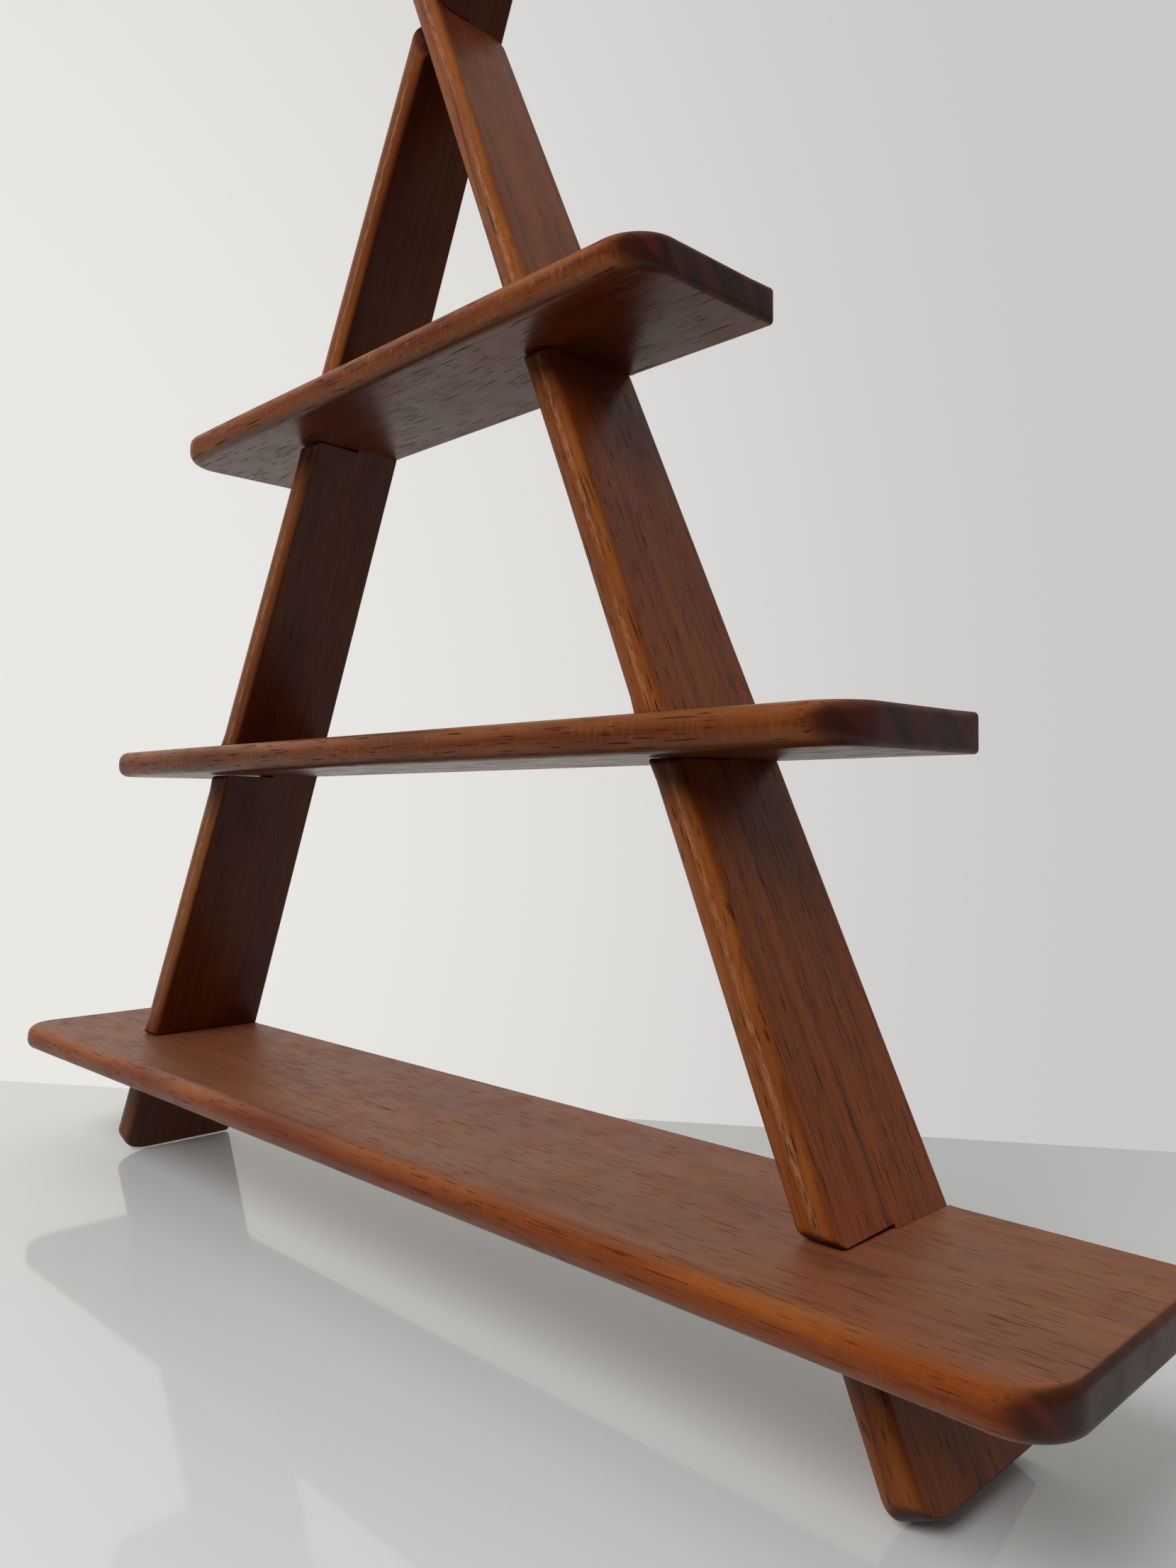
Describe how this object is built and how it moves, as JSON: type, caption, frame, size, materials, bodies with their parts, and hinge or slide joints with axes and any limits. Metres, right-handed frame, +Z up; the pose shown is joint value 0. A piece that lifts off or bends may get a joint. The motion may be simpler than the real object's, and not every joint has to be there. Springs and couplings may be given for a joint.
{
  "type": "a-frame display shelf",
  "caption": "Small wooden A-frame display shelf: two leaning legs cross at the top and carry shelf boards in slot-together cross-halving joints.",
  "frame": {"origin": "on the floor, half way along the bottom shelf and half way through its depth", "axes": "+X runs along the shelves to the right as seen from the front, +Y runs to the back plane where all the boards are flush, +Z is up"},
  "size_m": [0.6, 0.099, 0.5914],
  "materials": {
    "right_leg_wood": "oiled satin teak",
    "left_leg_wood": "oiled satin teak",
    "bottom_shelf_wood": "oiled satin teak",
    "middle_shelf_wood": "oiled satin teak",
    "top_shelf_wood": "oiled satin teak"
  },
  "bodies": {
    "right_leg": {"right_leg": "right_leg_wood"},
    "left_leg": {"left_leg": "left_leg_wood"},
    "bottom_shelf": {"bottom_shelf": "bottom_shelf_wood"},
    "middle_shelf": {"middle_shelf": "middle_shelf_wood"},
    "top_shelf": {"top_shelf": "top_shelf_wood"}
  },
  "joints": [
    {"name": "bottom_shelf_slide", "type": "slide", "parent": "right_leg", "child": "bottom_shelf", "axis": [0, -1, 0], "range_m": [0, 0.08]},
    {"name": "middle_shelf_slide", "type": "slide", "parent": "right_leg", "child": "middle_shelf", "axis": [0, -1, 0], "range_m": [0, 0.07]},
    {"name": "top_shelf_slide", "type": "slide", "parent": "right_leg", "child": "top_shelf", "axis": [0, -1, 0], "range_m": [0, 0.06]},
    {"name": "left_leg_slide", "type": "slide", "parent": "right_leg", "child": "left_leg", "axis": [0, 1, 0], "range_m": [0, 0.08]}
  ]
}
